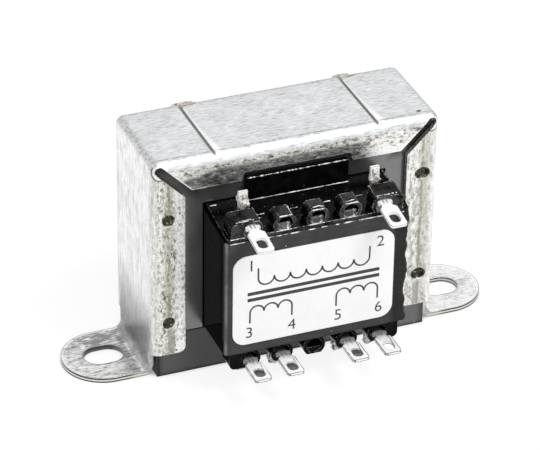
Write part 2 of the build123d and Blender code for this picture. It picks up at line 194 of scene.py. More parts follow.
def zincFinish(look):
    finish, start, place = newFinish("zincPlate")
    x, y, z = axes(place)
    patch = cloud(place, 0.35, 4.0, 0.62)
    grit = cloud(place, 3.4, 4.0, 0.66)
    fromTop = look["top"] - z
    fromSide = look["halfWidth"] - abs(x)
    fromFront = look["halfDepth"] - abs(y)
    foot = z.fade(1.4, 3.0)
    upright = (fromTop - fromSide).rise(-0.5, 0.5) * (1.0 - foot)  # webs and flanges
    front = (fromFront + (patch - 0.5) * 3.0).fade(0.5, 2.8) * fromTop.rise(0.9, 1.9) * (1.0 - foot)
    lip = front * (1.0 - upright)
    right = x.rise(-1.0, 1.0)

    def both(alongX, alongZ):
        return alongX * (1.0 - upright) + alongZ * upright

    alongZ = strokes(place, (3.2, 3.2, 0.22), 5.0, 0.68)
    streak = both(strokes(place, (0.75, 4.2, 4.2), 5.0, 0.68), alongZ)
    blot = both(strokes(place, (0.9, 1.9, 1.9), 6.0, 0.78),
                strokes(place, (1.9, 1.9, 1.0), 6.0, 0.78))
    fine = both(strokes(place, (2.0, 3.4, 3.4), 4.0, 0.75),
                strokes(place, (2.5, 2.5, 1.6), 4.0, 0.75))
    dash = both(strokes(place, (0.5, 5.5, 5.5), 2.0, 0.5),
                strokes(place, (5.5, 5.5, 0.5), 2.0, 0.5))

    def ramp(value, stops):
        return value.make("ShaderNodeValToRGB", {"stops": stops}, {0: value})

    colour = upright.between(ramp(streak * 0.78 + patch * 0.22, look["plate"]),
                             ramp(streak * 0.7 + patch * 0.3, look["web"]))
    colour = (dash.rise(0.60, 0.68) * 0.45).between(colour, look["dark"])
    inner = (fromSide + (patch - 0.5) * 2.0 + (blot - 0.5) * 4.0).rise(-0.4, 1.3)  # clean near the web
    aged = front * (1.0 - upright * (1.0 - inner))
    colour = (aged * (1.0 - right * upright * 0.35)).between(colour, ramp(
        blot * (0.40 + right * 0.35) + fine * (0.48 - right * 0.35) + streak * 0.12, look["fold"]))
    worn = ramp(blot * 0.33 + patch * 0.22 + streak * 0.45, look["foot"])
    colour = foot.between(colour, (right * 0.80).between(
        worn, ramp(streak * 0.6 + patch * 0.4, look["smooth"])))

    wide = (abs(fromSide - 2.5 + right * 0.4).fade(0.3, 1.4)
            * (alongZ * 0.55 + blot * 0.45).rise(0.44, 0.54))  # varnish runs down each flange
    thin = abs(fromSide - look["dimpleInset"] + (alongZ - 0.5) * 0.8).fade(0.10, 0.40) * patch.rise(0.36, 0.5)
    smear = (abs(fromSide - 3.75).fade(0.5, 1.1)
             * strokes(place, (1.3, 1.3, 0.34), 3.0, 0.6).rise(0.50, 0.55) * right)
    tab = ((fromSide + (blot - 0.5) * 0.6).rise(2.3, 2.5) * fromSide.fade(3.2, 3.5)
           * z.rise(4.0, 4.4) * z.fade(7.8, 8.4) * front)  # dull patch low on each flange
    run = (wide * 0.55).most(thin * 0.85).most(smear * 0.45) * front * upright
    colour = run.between(colour, look["varnish"])
    colour = (tab * 0.75).between(colour, look["patch"])
    flange = front * upright * (1.0 - right)
    paleInner = fromSide.rise(3.2, 3.9) * flange * fine.rise(0.36, 0.48)  # paler at the inner edge
    colour = (paleInner * 0.60).between(colour, look["bright"])
    bendShade = (fromFront.fade(0.4, 2.4) * fromSide.fade(0.7, 1.5)
            * upright * (1.0 - right) * blot.rise(0.38, 0.56))  # painted shade, mottled, where the left web turns into its flanges
    colour = (bendShade * 0.30).between(colour, look["low"])
    ragged = fromTop + (blot - 0.5) * 2.2 + (fine - 0.5) * 1.4 + (x + 12.0).least(0.0) * 0.18
    under = lip * ragged.rise(2.25, 2.6) * (x + (patch - 0.5) * 6.0).fade(9.0, 11.5)  # lower half of a lip, mottled, painted dark as a reflection of the black coil former
    colour = under.between(colour, ramp(fine * 0.35 + streak * 0.4 + blot * 0.25, look["lip"]))
    # painted reflection: pale low on each lip towards its right-hand end
    wearAndReflection = lip * ragged.rise(3.3, 4.1) * x.rise(10.0, 11.5)
    colour = (wearAndReflection * 0.85).between(colour, look["bright"])
    specks = grit.rise(0.56, 0.62) * (1.0 - right * upright * 0.6) * (aged * 0.55 + foot * 0.4).least(1.0)
    colour = (specks * 0.7).between(colour, look["dark"])

    creaseAndShade = abs(fromTop - fromSide).fade(0.2, 1.4) * (fromTop + fromSide).fade(0.9, 2.8)  # darker along the side bends: crease marks, and painted shade
    colour = (creaseAndShade * (0.35 + 0.65 * blot.fade(0.44, 0.58)) * 0.65).between(colour, look["groove"])
    away = x - x.calc("SIGN", x) * look["score"]
    nearTop = fromTop.fade(0.25, 0.6)
    # painted highlight beside each score line, widening towards the front
    scoreHighlight = away / (0.45 + 0.9 * y.fade(-8.0, 3.0))
    colour = (scoreHighlight.rise(0.1, 0.4) * scoreHighlight.fade(0.7, 1.1) * nearTop
              * (0.6 + 0.4 * y.fade(-6.5, -2.0))).between(colour, look["bright"])
    # the score grooves painted dark as their shade
    colour = (abs(away + 0.04).fade(0.16, 0.30) * nearTop * 0.85).between(colour, look["groove"])
    colour = (abs(away - 0.13).fade(0.04, 0.13) * nearTop * 0.7).between(colour, look["scored"])
    bendLine = abs(fromFront - 1.25).fade(0.06, 0.22) * fromTop.fade(0.10, 0.30) * fine.rise(0.42, 0.54)
    colour = (bendLine * 0.55).between(colour, look["scored"])
    spill = (abs(y - 6.55 - away * away * 0.08 + (blot - 0.5) * 1.2).fade(0.12, 0.34)
             * away.rise(-0.2, 0.1) * away.fade(2.3, 3.2))  # varnish at the rear ends of the score lines
    spill = spill.most(abs(away).fade(0.20, 0.50) * y.rise(5.6, 6.4)) * fromTop.fade(0.6, 1.2)
    colour = (spill * grit.rise(0.36, 0.50) * 0.9).between(colour, look["amber"])
    rear = y.rise(4.0, 7.8) * fromTop.fade(0.3, 0.8) * patch.rise(0.36, 0.54)
    colour = (rear * 0.35).between(colour, look["plate"][0][1])
    low = (z + (blot - 0.5) * 8.0).fade(4.5, 15.0) * upright * (1.0 - front)  # darker low on the webs
    colour = (low * 0.85).between(colour, look["low"])
    colour = (z.fade(2.0, 7.0) * upright * (1.0 - front)
              * y.rise(-7.0, 1.0) * 0.6).between(colour, look["dark"])
    shaded = (y.rise(0.5, 3.2) * foot * (1.0 - right)
              * (streak * 0.6 + patch * 0.4).fade(0.46, 0.58))  # left foot, behind its slot
    colour = (shaded * 0.85).between(colour, look["low"])
    dimpleX = (fromSide - look["dimpleInset"]) * (1.0 - right * 0.26)
    dimpleZ = abs(z - look["dimpleLow"]).least(abs(z - look["dimpleHigh"]))
    dimple = (dimpleX * dimpleX + dimpleZ * dimpleZ).fade(0.66, 1.0) * fromFront.fade(0.9, 1.2)
    # the dimples painted dark olive as their own shade, with painted glints
    colour = dimple.between(colour, grit.rise(0.56, 0.64).between(look["hollow"], look["glint"]))
    pitX, pitY = x - look["pitAt"][0], y - look["pitAt"][1]
    pitAway = pitX * pitX * 0.35 + pitY * pitY
    pit = pitAway.fade(0.02, 0.08) * fromTop.fade(0.1, 0.4)
    colour = pit.between(colour, look["pit"])
    reach = (abs(x) - look["footCentre"]).most(0.0)
    rimAway = (reach * reach + y * y) ** 0.5
    slitX, slitZ = fromSide - look["slitEnd"], fromTop - look["slitEnd"]
    fromSlit = (slitX * slitX + slitZ * slitZ + fromFront * fromFront) ** 0.5
    folded = fromTop.rise(0.45, 0.75)
    burrHighlight = fromSlit.fade(1.05, 1.20) * folded  # painted highlight on the burr round the end of each mitre slit
    ring = fromSlit.rise(1.14, 1.24) * fromSlit.fade(1.34, 1.50) * folded * upright
    colour = (ring * 0.9).between(colour, look["dark"])
    # painted shade inside the upper end of each mitre slit
    slitEndShade = fromSlit.fade(0.78, 0.90) * (slitX + slitZ).fade(-0.7, -0.3) * folded
    # painted highlights along the front edges, the slit burrs and the feet's rims
    rimHighlight = ((edgeMask(start, 0.26) * fromFront.fade(1.2, 2.0)).most(burrHighlight)
           .most(rimAway.rise(5.6, 6.0) * foot) * (1.0 - dimple))
    colour = (rimHighlight * grit.rise(0.36, 0.50) * 0.75).between(colour, look["bright"])
    # painted highlight along the edges of the mitre slits
    slitHighlight = (fromSide - fromTop).fade(1.10, 1.45) * fromTop.rise(1.7, 2.3) * lip
    colour = (slitHighlight * 0.85).between(colour, look["bright"])
    colour = slitEndShade.between(colour, look["line"])
    half = look["notchHalf"]
    lipHighlight = z.fade(look["lipLow"], look["lipLow"] + 0.16) * abs(x).rise(half, half + 0.3) * lip  # painted highlight along the lips' lower edges
    colour = (lipHighlight * fine.rise(0.34, 0.44) * 0.95).between(colour, look["bright"])
    # painted highlight along the notch's lower edge
    notchHighlight = z.fade(look["notchLow"], look["notchLow"] + 0.12) * abs(x).fade(half - 0.1, half + 0.2) * lip
    colour = (notchHighlight * 0.8).between(colour, look["highlightGrey"])
    groove = abs(rimAway - look["grooveRadius"]).fade(0.06, 0.20) * foot
    groove = groove * (0.45 + 0.55 * fine.rise(0.40, 0.52))
    colour = (groove * 0.4 * (1.0 - right)).between(colour, look["low"])
    colour = (rimAway.rise(6.06, 6.16) * foot * 0.6).between(colour, look["low"])
    cut = z.fade(0.70, 0.76)  # sheared edge of the feet: two dark lines with a paler land between
    colour = (cut * z.rise(0.005, 0.02)).between(colour, look["cut"])
    fromHole = ((abs(abs(x) - look["footCentre"]) - look["slotReach"]).most(0.0) ** 2.0 + y * y) ** 0.5
    outline = fromHole.fade(look["slotRadius"] + 0.10, look["slotRadius"] + 0.32) * foot  # round each slot
    colour = (outline * (1.0 - right * 0.5) * 0.7).between(colour, look["low"])
    root = abs(fromSide + 0.3).fade(0.15, 0.75) * z.rise(0.8, 0.95) * z.fade(1.9, 2.8)  # painted shade in the feet's inner bends, streaked
    colour = (root * (0.35 + 0.4 * streak.rise(0.42, 0.56))).between(colour, look["low"])
    # painted shade: the dark reaches further down the slot walls of the left foot, less far on the right
    slotShade = rimAway.fade(3.4, 4.0) * (0.20 - right * 0.25)
    lines = ((z + slotShade).rise(0.44, 0.52) * cut).most(z.fade(0.18, 0.26) * z.rise(0.005, 0.02))
    lines = lines * (0.45 + 0.52 * fromSide.fade(-3.2, -1.6))
    colour = lines.between(colour, look["line"])

    rough = look["roughLow"] + (look["roughHigh"] - look["roughLow"]) * blot.rise(0.35, 0.65)
    height = streak * 0.4 + dash * 0.2 + (blot * 0.9 + fine * 0.5) * (front * 0.6 + foot * 0.4 + 0.12)
    normal = relief(start, height, 0.05, softEdge(start, 0.14))
    metal = 1.0 - run * 0.4 - dimple * 0.5 - lines - slitEndShade
    closeFinish(start, {
        "Base Color": colour, "Metallic": metal.most(0.0), "Roughness": rough, "Normal": normal,
    })
    return finish


# core sheets: dark steel under thin varnish, the sheet edges show on every side but the front and back
coreLook = {
    "face": (0.205, 0.205, 0.205, 1), "warm": (0.242, 0.234, 0.226, 1), "gap": (0.02, 0.02, 0.02, 1),
    "dust": grey(0.7), "sheet": 0.5, "front": 7.15, "joint": 7.0, "frameHalf": 21.95, "frameTop": 35.95,
}


def coreFinish(look):
    finish, start, place = newFinish("coreSheet")
    x, y, z = axes(place)
    fromSide, fromTop = look["frameHalf"] - abs(x), look["frameTop"] - z
    patch = cloud(place, 0.22, 4.0, 0.6)
    grain = strokes(place, (0.6, 0.6, 5.0), 3.0, 0.55)
    grit = cloud(place, 3.0, 2.0, 0.5)
    turns = y / look["sheet"] + 100.0
    sheet = abs(turns.fract() - 0.5)
    inside = (look["front"] - abs(y)).rise(0.02, 0.12)
    line = sheet.rise(0.36, 0.46) * inside
    colour = (patch * 0.7 + grain * 0.3).rise(0.36, 0.66).between(look["face"], look["warm"])
    iSheets = z.fade(look["joint"] - 0.2, look["joint"] + 0.2)
    colour = (iSheets * (0.62 + 0.14 * x.rise(-20.0, -14.0) - 0.40 * x.rise(0.0, 14.0))
              ).between(colour, look["gap"])  # darker on the I sheets, most of all under the left half of the coil, as painted shadow of the coil
    joint = abs(z - look["joint"]).fade(0.06, 0.20).most(  # where the stacks meet, and painted shade at the ends of the I sheets
        iSheets * fromSide.fade(1.0, 2.4) * 0.6)
    colour = (joint * 0.95).between(colour, look["gap"])
    lowEdge = (x.fade(-20.75, -20.45) * iSheets * 0.85).most(
        z.fade(0.15, 0.60) * 0.6)  # left corner and lower edge, in shade
    colour = lowEdge.between(colour, look["gap"])
    colour = line.between(colour, look["gap"])
    # painted shade: darker in corners, from the occlusion node, and down the mitre slits
    openness = openAir(start, 2.2)
    slit = abs(fromSide - fromTop).fade(1.0, 1.6) * fromTop.fade(4.6, 7.2)
    colour = ((openness.fade(0.28, 0.62) * 0.65).most(
        slit * (0.78 + 0.20 * fromTop.fade(1.4, 2.6).most(x.rise(-1.0, 1.0))))).between(colour, look["gap"])
    dust = cloud(place, 1.7, 1.0, 0.4).rise(0.785, 0.80)
    dust = dust * abs(y).rise(look["front"] - 0.05, look["front"] - 0.01)
    colour = (dust * 0.6).between(colour, look["dust"])
    rough = 0.16 + patch * 0.14 + inside * 0.15
    normal = relief(start, (1.0 - line) * 0.8 + grit * 0.10 + grain * 0.06, 0.04, softEdge(start, 0.10))
    closeFinish(start, {"Base Color": colour, "Metallic": 0.75, "Roughness": rough, "Normal": normal})
    return finish


# coil former: deep black moulding, with painted highlights on its edges where varnish dried, and painted
# sheen on its tops, fronts and rests
formerLook = {
    "black": grey(0.0022), "dull": grey(0.0060), "dust": grey(0.45, 0.02), "edge": grey(0.90, 0.02),
    "rest": grey(0.20), "face": grey(0.058),
    "pitch": 5.0, "socketDeck": 25.5,
}


def formerFinish(look):
    finish, start, place = newFinish("formerMoulding")
    x, y, z = axes(place)
    patch = cloud(place, 0.5, 4.0, 0.6)
    ripple = cloud(place, 1.6, 3.0, 0.55, 0.6)
    grit = cloud(place, 4.5, 3.0, 0.6)
    colour = patch.rise(0.42, 0.66).between(look["black"], look["dull"])
    turns = x / look["pitch"] + 50.5
    beside = abs(turns.fract() - 0.5) * look["pitch"]  # distance from the nearest socket
    # painted reflection: the rests in the open sockets shown grey
    rest = (beside.fade(0.90, 0.98) * y.rise(-15.75, -15.65) * y.fade(-15.35, -15.2)
            * abs(z - 27.2).fade(0.75, 0.9))
    colour = (rest * 0.9).between(colour, look["rest"])
    offset = (turns.fract() - 0.5) * look["pitch"]
    # painted glint down the right edge of each open socket's rest
    colour = (rest * abs(offset - 0.58).fade(0.10, 0.17)
              * abs(x).fade(7.0, 7.5)).between(colour, look["edge"])
    aboveDeck = z.rise(look["socketDeck"], look["socketDeck"] + 0.5)
    fleck = (cloud(place, 2.9, 2.0, 0.5).rise(0.73, 0.75)
             * aboveDeck * z.fade(28.2, 28.8))
    colour = (fleck * 0.8).between(colour, look["dust"])
    normal = start.make("ShaderNodeNewGeometry", out="Normal")
    # painted sheen on the upward tops of the sockets and end blocks
    crown = (axis(normal, 2).rise(0.4, 0.8) * z.rise(28.0, 28.4)
             * (0.5 + 0.5 * abs(x).fade(7.0, 7.5)) * y.fade(-11.5, -11.0))
    colour = (crown * patch.rise(0.34, 0.56) * 0.8).between(colour, look["face"])
    out = axis(normal, 1)
    # painted sheen on the forward faces of the sockets and end blocks
    face = out.fade(-0.95, -0.7) * aboveDeck * y.fade(-14.5, -13.5)
    colour = (face * patch.rise(0.34, 0.56) * 0.9).between(colour, look["face"])
    wallEnd = abs(abs(x) - 7.75).fade(0.25, 0.40) * y.rise(-8.9, -8.6) * z.rise(27.0, 27.5)
    # painted highlights along the moulding's edges, broken up by noise
    worn = (edgeMask(start, 0.20) * (ripple * 0.55 + grit * 0.45).rise(0.46, 0.54) * (1.0 - wallEnd)
            * (1.0 - face * 0.6) * (1.0 - x.fade(-13.0, -12.4) * 0.75))
    colour = (worn * (0.2 + 0.8 * z.rise(24.0, 25.0))).between(colour, look["edge"])
    rough = 0.09 + patch.rise(0.40, 0.68) * 0.14
    normal = relief(start, ripple * 0.7 + grit * 0.15, 0.07, softEdge(start, 0.16))
    closeFinish(start, {
        "Base Color": colour, "Roughness": rough, "Specular IOR Level": 0.05, "Normal": normal,
    })
    return finish


# film round the coil
filmLook = {
    "side": grey(0.0022), "front": grey(0.053), "worn": grey(0.072), "dust": grey(0.42, 0.02),
    "corner": grey(0.22), "face": 15.2,
}


def filmFinish(look):
    finish, start, place = newFinish("wrapFilm")
    x, y = axis(place, 0), axis(place, 1)
    patch = cloud(place, 0.30, 4.0, 0.6)
    drag = strokes(place, (0.35, 0.35, 3.2), 3.0, 0.55)
    grit = cloud(place, 6.0, 2.0, 0.5)
    wearAndReflection = (patch * 0.6 + drag * 0.4).rise(0.40, 0.66).between(look["front"], look["worn"])
    # the film's sides painted near black as their shade; front and back keep the patchy tone
    front = abs(y).rise(look["face"], look["face"] + 0.3)
    colour = front.between(look["side"], wearAndReflection)
    colour = (front * x.rise(11.4, 12.4) * 0.5).between(colour, look["side"])  # the film's end is darker
    # painted highlight down the film's left front corner
    corner = x.fade(-13.62, -13.42) * y.fade(-15.66, -15.46)
    colour = (corner * (0.4 + 0.5 * patch.rise(0.40, 0.60))).between(colour, look["corner"])
    colour = (cloud(place, 1.9, 1.0, 0.4).rise(0.80, 0.81)
              * y.fade(0.0, 4.0) * 0.7).between(colour, look["dust"])
    rough = 0.05 + patch * 0.06 + front * 0.18
    normal = relief(start, drag * 0.5 + grit * 0.25 + patch * 0.6, 0.008)
    closeFinish(start, {
        "Base Color": colour, "Roughness": rough, "Specular IOR Level": 0.02, "Normal": normal,
    })
    return finish


paperLook = {"paper": (0.945, 0.945, 0.95, 1), "shade": (0.90, 0.90, 0.905, 1)}


def paperFinish(look):
    finish, start, place = newFinish("labelPaper")
    fibre = strokes(place, (2.2, 2.2, 4.0), 4.0, 0.6)
    patch = cloud(place, 0.18, 3.0, 0.5)
    colour = (fibre * 0.4 + patch * 0.6).rise(0.34, 0.62).between(look["shade"], look["paper"])
    normal = relief(start, fibre, 0.008, softEdge(start, 0.04))
    closeFinish(start, {"Base Color": colour, "Roughness": 0.42 + fibre * 0.2, "Normal": normal})
    return finish


def inkFinish():
    finish, start, place = newFinish("labelInk")
    fibre = cloud(place, 5.0, 3.0, 0.6)
    colour = fibre.rise(0.35, 0.7).between((0.018, 0.018, 0.019, 1), (0.055, 0.055, 0.056, 1))
    closeFinish(start, {"Base Color": colour, "Roughness": 0.45 + fibre * 0.2})
    return finish


# tinned tags, solder and copper
tinLook = {
    "bright": grey(0.97, 0.005), "dull": grey(0.86, 0.01), "stainAndShade": olive(0.10, 0.1),
    "flux": (0.13, 0.085, 0.06, 1), "darkRoot": grey(0.03), "pitch": 5.0,
}


def tinFinish(look):
    finish, start, place = newFinish("tinnedTag")
    x, y, z = axes(place)
    patch = cloud(place, 1.1, 4.0, 0.62)
    drawn = strokes(place, (4.5, 0.6, 4.5), 3.0, 0.55)
    colour = (patch * 0.6 + drawn * 0.4).rise(0.34, 0.58).between(look["dull"], look["bright"])
    colour = (patch.rise(0.62, 0.70) * 0.35).between(colour, look["stainAndShade"])
    inside = y.rise(-15.9, -15.2) * z.fade(29.3, 29.9)  # stained where the tag enters the moulding
    colour = (inside * 0.9).between(colour, z.rise(15.0, 20.0).between(look["darkRoot"], look["flux"]))
    # darker towards the roots of the lower tags
    roots = (y + (drawn - 0.5) * 2.6).rise(-17.6, -16.4) * z.fade(10.0, 12.0)
    colour = (roots * 0.7).between(colour, look["darkRoot"])
    turns = x / look["pitch"] + 50.5
    along = (turns.fract() - 0.5) * look["pitch"]  # distance from the middle of the tag
    slits = abs(abs(along) - 0.26).fade(0.05, 0.11) * y.rise(-16.75, -16.55) * y.fade(-15.9, -15.7)
    colour = (slits * 0.85).between(colour, look["stainAndShade"])
    # painted shade lines along the tags' sides, front ends and pressed rims
    sideLine = abs(along).rise(1.13, 1.20) * abs(along).fade(1.28, 1.295) * y.fade(-17.5, -17.2)
    endLine = (y.rise(-21.44, -21.42) * y.fade(-21.33, -21.26)).most(z.fade(5.72, 5.80))
    pressed = (abs(along - 0.82 - (y + 18.6) * 0.08).fade(0.05, 0.14)
               * y.rise(-20.3, -19.8) * y.fade(-17.0, -16.6))
    outlineShade = sideLine.most(endLine).most(pressed * 0.8) * z.fade(10.0, 12.0) * drawn.rise(0.36, 0.46)
    colour = (outlineShade * 0.9).between(colour, look["stainAndShade"])
    # painted shade on the tags' edges
    colour = (edgeMask(start, 0.17) * drawn.rise(0.30, 0.48) * 0.95).between(colour, look["stainAndShade"])
    normal = relief(start, patch * 0.6 + drawn * 0.4, 0.025, softEdge(start, 0.10))
    closeFinish(start, {
        "Base Color": colour, "Metallic": 0.12, "Roughness": 0.38 + patch * 0.2, "Normal": normal,
    })
    return finish


solderLook = {
    "bright": grey(0.93, 0.015), "dull": grey(0.52, 0.04),
    "groove": (0.16, 0.14, 0.12, 1), "flux": (0.12, 0.072, 0.045, 1),
}


def solderFinish(look):
    finish, start, place = newFinish("solderLump")
    z = axis(place, 2)
    patch = cloud(place, 2.2, 4.0, 0.65)
    grit = cloud(place, 7.0, 3.0, 0.6)
    level = z + (patch - 0.5) * 2.0
    root = (level.fade(29.3, 30.0) * z.rise(15.0, 16.0)).most(z.rise(3.9, 4.6) * z.fade(15.0, 16.0))
    colour = (patch * 0.5 + grit * 0.5).rise(0.40, 0.54).between(look["dull"], look["bright"])
    # painted shade in the lump's crevices
    openness = openAir(start, 0.5)
    colour = (openness.fade(0.60, 0.92) * 0.9).between(colour, look["groove"])
    flux = root * 0.9
    colour = flux.between(colour, look["flux"])
    normal = relief(start, patch + grit * 0.5, 0.12)
    closeFinish(start, {
        "Base Color": colour, "Metallic": 0.3 - flux * 0.3,
        "Roughness": 0.40 + patch * 0.22, "Normal": normal,
    })
    return finish


copperLook = {"enamel": (0.30, 0.105, 0.038, 1), "dark": (0.105, 0.035, 0.015, 1)}


def copperFinish(name, look, turn):
    finish, start, place = newFinish(name)
    z = axis(place, 2)
    patch = cloud(place, 1.3, 3.0, 0.6)
    ridge = abs((z / turn + 50.0).fract() - 0.5) * 2.0  # turns laid side by side, darker between them as painted shade
    colour = (patch * 0.5 + ridge * 0.5).rise(0.25, 0.75).between(look["enamel"], look["dark"])
    normal = relief(start, 1.0 - ridge * ridge, 0.06)
    closeFinish(start, {
        "Base Color": colour, "Metallic": 0.7, "Roughness": 0.24 + patch * 0.2, "Normal": normal,
    })
    return finish


tapeLook = {"yellow": (0.55, 0.36, 0.05, 1), "dark": (0.36, 0.22, 0.03, 1)}


def tapeFinish(look):
    finish, start, place = newFinish("tapeFilm")
    patch = cloud(place, 0.8, 3.0, 0.6)
    drag = strokes(place, (0.4, 0.4, 4.0), 3.0, 0.5)
    colour = (patch * 0.5 + drag * 0.5).rise(0.35, 0.65).between(look["yellow"], look["dark"])
    closeFinish(start, {
        "Base Color": colour, "Roughness": 0.2 + patch * 0.2, "Normal": relief(start, drag, 0.02),
    })
    return finish


# varnish: amber on the steel, painted near white on the moulding's edges as glints, dark in the tags' eyes as
# painted shade
def varnishFinish(name, thin, thick):
    finish, start, place = newFinish(name)
    patch = cloud(place, 2.4, 3.0, 0.6)
    colour = patch.rise(0.36, 0.64).between(thin, thick)
    normal = relief(start, cloud(place, 6.0, 2.0, 0.5), 0.03)
    closeFinish(start, {
        "Base Color": colour, "Roughness": 0.08 + patch * 0.12,
        "Coat Weight": 0.6 + patch * 0.3, "Normal": normal,
    })
    return finish


zincPlate = zincFinish(zincLook)
coreSheet = coreFinish(coreLook)
formerMoulding = formerFinish(formerLook)
wrapFilm = filmFinish(filmLook)
labelPaper = paperFinish(paperLook)
labelInk = inkFinish()
tinnedTag = tinFinish(tinLook)
solderLump = solderFinish(solderLook)
leadCopper = copperFinish("leadCopper", copperLook, 3.0)
windingCopper = copperFinish("windingCopper", copperLook, 0.25)
tapeFilm = tapeFinish(tapeLook)
amberVarnish = varnishFinish("amberVarnish", (0.74, 0.70, 0.50, 1), (0.10, 0.080, 0.030, 1))
glintVarnish = varnishFinish("glintVarnish", grey(0.95, 0.01), grey(0.62, 0.01))
eyeShadeVarnish = varnishFinish("eyeShadeVarnish", grey(0.090), grey(0.062))
print("finishes made")

nodeFinish = {  # by a part of the node's name
    "clamp_frame": zincPlate, "_lamination": coreSheet, "coil_former": formerMoulding,
    "rating_label": labelPaper, "_winding": windingCopper, "_tape": tapeFilm,
    "_tag_": tinnedTag, "_lead_": leadCopper,
}
for name, node in cad.items():
    for part, finish in nodeFinish.items():
        if part in name:
            node.data.materials.clear()
            node.data.materials.append(finish)
print("nodes dressed")


def linked(name, data):
    holder = bpy.data.objects.new(name, data)
    bpy.context.scene.collection.objects.link(holder)
    return holder


def metres(values):
    return tuple(value * mm for value in values)


def addPiece(name, mesh, finish=None):
    piece = linked(name, mesh)
    if finish:
        mesh.materials.append(finish)
    return piece


def newTree(name, inputs):
    tree = bpy.data.node_groups.new(name, "GeometryNodeTree")
    tree.interface.new_socket("Geometry", in_out="OUTPUT", socket_type="NodeSocketGeometry")
    tree.interface.new_socket("Geometry", in_out="INPUT", socket_type="NodeSocketGeometry")
    for label, kind in inputs.items():
        tree.interface.new_socket(label, in_out="INPUT", socket_type="NodeSocket" + kind)
    entry = tree.nodes.new("NodeGroupInput")
    return tree, Wire(tree), {s.name: Wire(tree, s) for s in entry.outputs if s.name}


def closeTree(start, shape, finish):
    smooth = start.make("GeometryNodeSetShadeSmooth", (), {"Geometry": shape})
    whole = start.make("GeometryNodeRealizeInstances", (), {"Geometry": smooth})
    dressed = start.make("GeometryNodeSetMaterial", (), {"Geometry": whole, "Material": finish})
    start.make("NodeGroupOutput", (), {0: dressed})


def grow(name, base, tree, values):
    modifier = base.modifiers.new("grow", "NODES")
    modifier.node_group = tree
    for item in tree.interface.items_tree:
        if item.in_out == "INPUT" and item.name in values:
            modifier[item.identifier] = values[item.name]
    bpy.context.view_layer.update()
    mesh = bpy.data.meshes.new_from_object(base.evaluated_get(bpy.context.evaluated_depsgraph_get()))
    base.modifiers.clear()
    bpy.data.objects.remove(base)
    mesh.name = name
    return addPiece(name, mesh)


def lineBase(name, lines):
    data = bpy.data.curves.new(name, "CURVE")
    data.dimensions = "3D"
    for line in lines:
        spline = data.splines.new("POLY")
        spline.points.add(len(line) - 1)
        for point, at in zip(spline.points, line):
            point.co = (at[0] * mm, at[1] * mm, at[2] * mm, 1.0)
    return linked(name, data)


def pointBase(name, points):
    mesh = bpy.data.meshes.new(name)
    mesh.from_pydata([metres(at) for at in points], [], [])
    return linked(name, mesh)


def drift(where, grain, reach):  # an uneven offset, to every side
    sway = where.make("ShaderNodeTexNoise", (), {"Vector": where, "Scale": grain, "Detail": 1.0}, 1)
    sway = where.vector("SUBTRACT", {0: sway, 1: (0.5, 0.5, 0.5)})
    return where.vector("SCALE", {0: sway, "Scale": reach})


def beadTree():  # varnish that collects along an edge, thick and thin by turns
    inputs = {
        "Thickness": "Float", "Least": "Float", "Wander": "Float", "Grain": "Float", "Finish": "Material",
    }
    tree, start, given = newTree("varnishBead", inputs)
    path = start.make("GeometryNodeResampleCurve", {"mode": "LENGTH"},
                      {"Curve": given["Geometry"], "Length": 0.09 * mm})
    where = start.make("GeometryNodeInputPosition")
    swell = start.make("ShaderNodeTexNoise", (), {"Vector": where, "Scale": given["Grain"], "Detail": 2.0})
    off = drift(where, given["Grain"] * 0.8, given["Wander"])
    path = start.make("GeometryNodeSetPosition", (), {"Geometry": path, "Offset": off})
    ring = start.make("GeometryNodeCurvePrimitiveCircle", (), {"Resolution": 8, "Radius": 1.0})
    thickness = given["Thickness"] * (given["Least"] + (1.2 - given["Least"]) * swell.rise(0.36, 0.66))
    tube = start.make("GeometryNodeCurveToMesh", (), {
        "Curve": path, "Profile Curve": ring, "Scale": thickness, "Fill Caps": True,
    })
    closeTree(start, tube, given["Finish"])
    return tree


def lumpTree():  # rough lumps on given points, from blocky to round
    inputs = {
        "Size": "Vector", "Rotation": "Vector", "Roundness": "Float", "Taper": "Float",
        "Swell": "Float", "Grain": "Float", "Finish": "Material",
    }
    tree, start, given = newTree("roughLump", inputs)
    cube = start.make("GeometryNodeMeshCube", (), {
        "Size": (2.0, 2.0, 2.0), "Vertices X": 24, "Vertices Y": 24, "Vertices Z": 24,
    })
    where = start.make("GeometryNodeInputPosition")
    ball = start.vector("NORMALIZE", {0: where})
    worn = start.make("ShaderNodeMix", {"data_type": "VECTOR"}, {0: given["Roundness"], 4: where, 5: ball}, 1)
    slim = 1.0 - given["Taper"] * (axis(worn, 2) * 0.5 + 0.5)
    narrow = start.make("ShaderNodeCombineXYZ", (), {"X": slim, "Y": slim, "Z": 1.0})
    worn = start.vector("MULTIPLY", {0: worn, 1: narrow})
    block = start.make("GeometryNodeSetPosition", (), {"Geometry": cube, "Position": worn})
    lumps = start.make("GeometryNodeInstanceOnPoints", (), {
        "Points": given["Geometry"], "Instance": block, "Rotation": given["Rotation"], "Scale": given["Size"],
    })
    whole = start.make("GeometryNodeRealizeInstances", (), {"Geometry": lumps})
    out = start.make("GeometryNodeInputNormal")
    wave = start.make("ShaderNodeTexNoise", (), {"Vector": where, "Scale": given["Grain"], "Detail": 3.0})
    off = start.vector("SCALE", {0: out, "Scale": (wave - 0.5) * given["Swell"]})
    whole = start.make("GeometryNodeSetPosition", (), {"Geometry": whole, "Offset": off})
    pull = drift(where, given["Grain"] * 0.55, given["Swell"] * 0.7)
    whole = start.make("GeometryNodeSetPosition", (), {"Geometry": whole, "Offset": pull})
    closeTree(start, whole, given["Finish"])
    return tree


varnishBead = beadTree()
roughLump = lumpTree()

